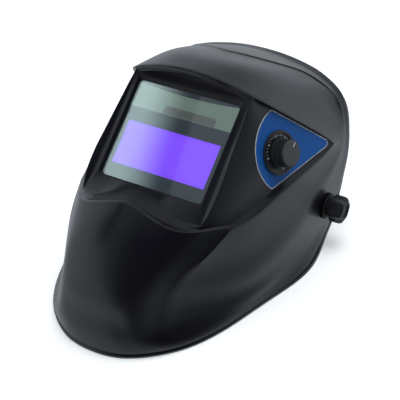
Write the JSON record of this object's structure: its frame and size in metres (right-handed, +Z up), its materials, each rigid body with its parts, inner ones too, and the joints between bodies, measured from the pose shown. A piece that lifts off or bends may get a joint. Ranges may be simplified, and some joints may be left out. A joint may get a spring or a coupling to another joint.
{
  "type": "welding helmet",
  "caption": "Auto-darkening welding helmet: moulded face shell, filter cartridge, side shade control, lobed pivot knobs and an adjustable headgear stored inside.",
  "frame": {"origin": "bottom centre of the bounding box, in the plane of the shell's lower rim, with the helmet standing on that rim", "axes": "+Z up from the bench, the face looks toward -Y and up, +X is the wearer's left"},
  "size_m": [0.264, 0.3794, 0.2028],
  "materials": {
    "shell": "satin, fine moulded grain",
    "clear_lens": "polished polycarbonate",
    "lcd": "coated filter glass",
    "case": "fine grain",
    "solar": "tinted",
    "board": "solder mask",
    "cell": "nickel plated",
    "knob": "satin",
    "button": "gloss",
    "decal": "printed film",
    "metal": "zinc plated",
    "washer": "matte",
    "headgear": "smooth nylon",
    "foam": "perforated terry over foam",
    "cable": "matte sleeve"
  },
  "bodies": {
    "shell": {"shell": "shell", "cover_lens": "clear_lens", "adf_front": "case", "adf_back": "case", "lcd_filter": "lcd", "solar_cell": "solar", "arc_sensors": "solar", "circuit_board": "board", "fixed_cell": "cell", "coin_cell": "cell", "battery_tray": "case", "inner_cover_lens": "clear_lens", "adf_retainer": "case", "shade_pot": "metal", "pot_nut": "metal", "pot_cable": "cable", "dial_ring": "knob", "side_decal": "decal", "outer_washers": "washer", "inner_washers": "washer"},
    "latch_left": {"latch_left": "knob"},
    "latch_right": {"latch_right": "knob"},
    "sensitivity": {"sensitivity_knob": "knob"},
    "delay": {"delay_knob": "knob"},
    "test_button": {"test_button": "button"},
    "shade_control": {"shade_knob": "knob", "pot_shaft": "metal"},
    "carriage": {"pivot_bolts": "headgear", "slide_block_left": "headgear", "slide_block_right": "headgear"},
    "pivot_knob_left": {"pivot_knob_left": "knob"},
    "pivot_knob_right": {"pivot_knob_right": "knob"},
    "headgear": {"headband": "headgear", "sweatband": "foam", "crown_strap_left": "headgear", "crown_strap_right": "headgear", "strap_peg": "headgear", "ratchet_housing": "headgear", "rear_pad": "foam"},
    "ratchet": {"ratchet_knob": "knob", "ratchet_pinion": "headgear"},
    "rear_band_left": {"rear_band_left": "headgear"},
    "rear_band_right": {"rear_band_right": "headgear"}
  },
  "joints": [
    {"name": "headgear_tilt", "type": "hinge", "parent": "shell", "child": "carriage", "pos_m": [0, 0.07045, 0.04097], "axis": [1, 0, 0], "range_deg": [-43.5, 20]},
    {"name": "fore_aft", "type": "slide", "parent": "carriage", "child": "headgear", "axis": [0, 0.9962, -0.0872], "range_m": [-0.012, 0.012]},
    {"name": "pivot_knob_left_turn", "type": "hinge", "parent": "carriage", "child": "pivot_knob_left", "pos_m": [0, 0.07045, 0.04097], "axis": [1, 0, 0], "range_deg": [-180, 180]},
    {"name": "pivot_knob_right_turn", "type": "hinge", "parent": "carriage", "child": "pivot_knob_right", "pos_m": [0, 0.07045, 0.04097], "axis": [-1, 0, 0], "range_deg": [-180, 180]},
    {"name": "shade_turn", "type": "hinge", "parent": "shell", "child": "shade_control", "pos_m": [0.0851, 0.00332, 0.13073], "axis": [0.9118, -0.2182, 0.3477], "range_deg": [-135, 135]},
    {"name": "sensitivity_turn", "type": "hinge", "parent": "shell", "child": "sensitivity", "pos_m": [-0.018, -0.01719, 0.15437], "axis": [0, 0.6626, -0.749], "range_deg": [-135, 135]},
    {"name": "delay_turn", "type": "hinge", "parent": "shell", "child": "delay", "pos_m": [0.018, -0.01719, 0.15437], "axis": [0, 0.6626, -0.749], "range_deg": [-135, 135]},
    {"name": "test_press", "type": "slide", "parent": "shell", "child": "test_button", "axis": [0, -0.6626, 0.749], "range_m": [0, 0.0012], "stiffness_N_per_m": 300},
    {"name": "latch_left_turn", "type": "hinge", "parent": "shell", "child": "latch_left", "pos_m": [0.0535, -0.04283, 0.12902], "axis": [0, -0.6626, 0.749], "range_deg": [0, 90]},
    {"name": "latch_right_turn", "type": "hinge", "parent": "shell", "child": "latch_right", "pos_m": [-0.0535, -0.04283, 0.12902], "axis": [0, 0.6626, -0.749], "range_deg": [0, 90]},
    {"name": "ratchet_turn", "type": "hinge", "parent": "headgear", "child": "ratchet", "pos_m": [0, 0.17305, 0.032], "axis": [0, 0.9962, -0.0872], "range_deg": [-110, 110]},
    {"name": "size_left", "type": "hinge", "parent": "headgear", "child": "rear_band_left", "pos_m": [0, 0.09037, 0.03923], "axis": [0, 0.0872, 0.9962], "range_deg": [-8.9, 8.9]},
    {"name": "size_right", "type": "hinge", "parent": "headgear", "child": "rear_band_right", "pos_m": [0, 0.09037, 0.03923], "axis": [0, 0.0872, 0.9962], "range_deg": [-8.9, 8.9]}
  ],
  "couplings": [
    {"joint": "size_left", "follows": "ratchet_turn", "ratio": -0.08098},
    {"joint": "size_right", "follows": "ratchet_turn", "ratio": 0.08098}
  ]
}
